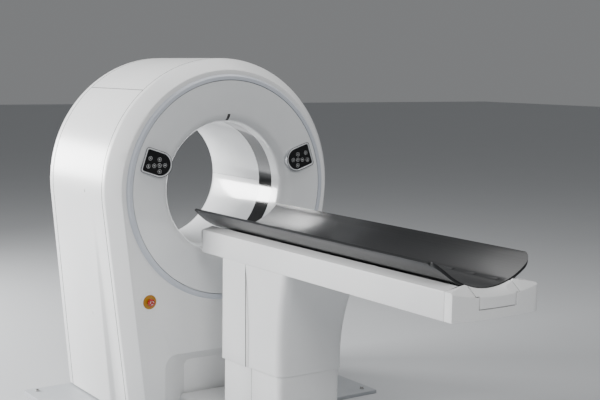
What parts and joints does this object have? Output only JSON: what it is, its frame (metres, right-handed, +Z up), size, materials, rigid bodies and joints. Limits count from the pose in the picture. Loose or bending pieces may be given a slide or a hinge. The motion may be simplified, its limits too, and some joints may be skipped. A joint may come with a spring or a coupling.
{
  "type": "CT scanner",
  "caption": "CT scanner: tall arched gantry with a round bore, and a lifting patient table whose trough-shaped cradle slides into the bore.",
  "frame": {"origin": "floor point straight below the isocentre, the middle of the X-ray window on the bore axis", "axes": "+Z up, +Y along the bore from the table side to the rear of the gantry, +X to the right seen from the table"},
  "size_m": [1.7, 2.877, 1.883],
  "materials": {
    "cover_white": "satin moulded cover",
    "trim_blue_grey": "satin",
    "window_black": "gloss",
    "bezel_silver": "satin",
    "panel_black": "gloss",
    "key_rubber": "satin",
    "stop_yellow": "satin",
    "stop_red": "satin",
    "floor_steel": "satin",
    "cast_ring": "machined",
    "bearing_steel": "ground",
    "belt_rubber": "matt",
    "housing_grey": "satin",
    "frame_aluminium": "anodised",
    "carbon": "woven carbon under clear coat",
    "roller_rubber": "matt"
  },
  "bodies": {
    "stationary": {"front_cover": "cover_white", "rear_cover": "cover_white", "side_cover_left": "cover_white", "side_cover_right": "cover_white", "top_cover": "cover_white", "cover_plugs": "cover_white", "front_funnel": "cover_white", "rear_liner_upper": "cover_white", "rear_liner_lower": "cover_white", "link_cover": "cover_white", "lower_sleeve_head": "cover_white", "lower_sleeve_foot": "cover_white", "front_trim_ring": "trim_blue_grey", "xray_window": "window_black", "laser_window": "window_black", "panel_tray_left": "bezel_silver", "panel_tray_right": "bezel_silver", "panel_face_left": "panel_black", "panel_face_right": "panel_black", "estop_bases": "stop_yellow", "base_plate": "floor_steel", "gantry_frame": "floor_steel", "table_base": "floor_steel", "lift_outer_column": "floor_steel", "drive_motor": "cast_ring", "main_bearing": "bearing_steel", "drive_belt": "belt_rubber"},
    "rotor": {"rotor_drum": "cast_ring", "xray_tube": "housing_grey", "detector_arc": "housing_grey", "hv_generator": "housing_grey", "cooling_unit": "housing_grey"},
    "pulley": {"motor_pulley": "cast_ring"},
    "lift": {"upper_sleeve_head": "cover_white", "upper_sleeve_foot": "cover_white", "lift_inner_column": "floor_steel", "beam_frame": "frame_aluminium", "beam_cover": "cover_white", "beam_end_cap": "cover_white"},
    "roller": {"support_roller": "roller_rubber"},
    "cradle_slide_body": {"cradle": "carbon", "cradle_carriage": "frame_aluminium", "cradle_screws": "bearing_steel", "cradle_end_block": "cover_white"},
    "key_left_centre_cap": {"key_left_centre": "key_rubber"},
    "key_left_up_cap": {"key_left_up": "key_rubber"},
    "key_left_down_cap": {"key_left_down": "key_rubber"},
    "key_left_inner_cap": {"key_left_inner": "key_rubber"},
    "key_left_outer_cap": {"key_left_outer": "key_rubber"},
    "key_left_light_cap": {"key_left_light": "key_rubber"},
    "key_left_load_cap": {"key_left_load": "key_rubber"},
    "key_right_centre_cap": {"key_right_centre": "key_rubber"},
    "key_right_up_cap": {"key_right_up": "key_rubber"},
    "key_right_down_cap": {"key_right_down": "key_rubber"},
    "key_right_inner_cap": {"key_right_inner": "key_rubber"},
    "key_right_outer_cap": {"key_right_outer": "key_rubber"},
    "key_right_light_cap": {"key_right_light": "key_rubber"},
    "key_right_load_cap": {"key_right_load": "key_rubber"},
    "estop_left": {"estop_button_left": "stop_red"},
    "estop_right": {"estop_button_right": "stop_red"}
  },
  "joints": [
    {"name": "rotor_spin", "type": "hinge", "parent": "stationary", "child": "rotor", "pos_m": [0, 0, 1.2], "axis": [0, 1, 0], "continuous": true},
    {"name": "pulley_spin", "type": "hinge", "parent": "stationary", "child": "pulley", "pos_m": [-0.39577, 0.21, 0.63479], "axis": [0, 1, 0], "continuous": true},
    {"name": "lift_slide", "type": "slide", "parent": "stationary", "child": "lift", "axis": [0, 0, 1], "range_m": [-0.33, 0.06]},
    {"name": "cradle_slide", "type": "slide", "parent": "lift", "child": "cradle_slide_body", "axis": [0, 1, 0], "range_m": [0, 1.4]},
    {"name": "roller_spin", "type": "hinge", "parent": "lift", "child": "roller", "pos_m": [0, -0.4, 0.9737], "axis": [1, 0, 0], "continuous": true},
    {"name": "key_left_centre_press", "type": "slide", "parent": "stationary", "child": "key_left_centre_cap", "axis": [0, 1, 0], "range_m": [0, 0.0012], "stiffness_N_per_m": 1500, "springref_m": -0.001},
    {"name": "key_left_up_press", "type": "slide", "parent": "stationary", "child": "key_left_up_cap", "axis": [0, 1, 0], "range_m": [0, 0.0012], "stiffness_N_per_m": 1500, "springref_m": -0.001},
    {"name": "key_left_down_press", "type": "slide", "parent": "stationary", "child": "key_left_down_cap", "axis": [0, 1, 0], "range_m": [0, 0.0012], "stiffness_N_per_m": 1500, "springref_m": -0.001},
    {"name": "key_left_inner_press", "type": "slide", "parent": "stationary", "child": "key_left_inner_cap", "axis": [0, 1, 0], "range_m": [0, 0.0012], "stiffness_N_per_m": 1500, "springref_m": -0.001},
    {"name": "key_left_outer_press", "type": "slide", "parent": "stationary", "child": "key_left_outer_cap", "axis": [0, 1, 0], "range_m": [0, 0.0012], "stiffness_N_per_m": 1500, "springref_m": -0.001},
    {"name": "key_left_light_press", "type": "slide", "parent": "stationary", "child": "key_left_light_cap", "axis": [0, 1, 0], "range_m": [0, 0.0012], "stiffness_N_per_m": 1500, "springref_m": -0.001},
    {"name": "key_left_load_press", "type": "slide", "parent": "stationary", "child": "key_left_load_cap", "axis": [0, 1, 0], "range_m": [0, 0.0012], "stiffness_N_per_m": 1500, "springref_m": -0.001},
    {"name": "key_right_centre_press", "type": "slide", "parent": "stationary", "child": "key_right_centre_cap", "axis": [0, 1, 0], "range_m": [0, 0.0012], "stiffness_N_per_m": 1500, "springref_m": -0.001},
    {"name": "key_right_up_press", "type": "slide", "parent": "stationary", "child": "key_right_up_cap", "axis": [0, 1, 0], "range_m": [0, 0.0012], "stiffness_N_per_m": 1500, "springref_m": -0.001},
    {"name": "key_right_down_press", "type": "slide", "parent": "stationary", "child": "key_right_down_cap", "axis": [0, 1, 0], "range_m": [0, 0.0012], "stiffness_N_per_m": 1500, "springref_m": -0.001},
    {"name": "key_right_inner_press", "type": "slide", "parent": "stationary", "child": "key_right_inner_cap", "axis": [0, 1, 0], "range_m": [0, 0.0012], "stiffness_N_per_m": 1500, "springref_m": -0.001},
    {"name": "key_right_outer_press", "type": "slide", "parent": "stationary", "child": "key_right_outer_cap", "axis": [0, 1, 0], "range_m": [0, 0.0012], "stiffness_N_per_m": 1500, "springref_m": -0.001},
    {"name": "key_right_light_press", "type": "slide", "parent": "stationary", "child": "key_right_light_cap", "axis": [0, 1, 0], "range_m": [0, 0.0012], "stiffness_N_per_m": 1500, "springref_m": -0.001},
    {"name": "key_right_load_press", "type": "slide", "parent": "stationary", "child": "key_right_load_cap", "axis": [0, 1, 0], "range_m": [0, 0.0012], "stiffness_N_per_m": 1500, "springref_m": -0.001},
    {"name": "estop_left_press", "type": "slide", "parent": "stationary", "child": "estop_left", "axis": [0, 1, 0], "range_m": [0, 0.005], "stiffness_N_per_m": 2500, "springref_m": -0.004},
    {"name": "estop_right_press", "type": "slide", "parent": "stationary", "child": "estop_right", "axis": [0, 1, 0], "range_m": [0, 0.005], "stiffness_N_per_m": 2500, "springref_m": -0.004}
  ],
  "couplings": [
    {"joint": "pulley_spin", "follows": "rotor_spin", "ratio": 10},
    {"joint": "roller_spin", "follows": "cradle_slide", "rad_per_m": -69.93}
  ]
}
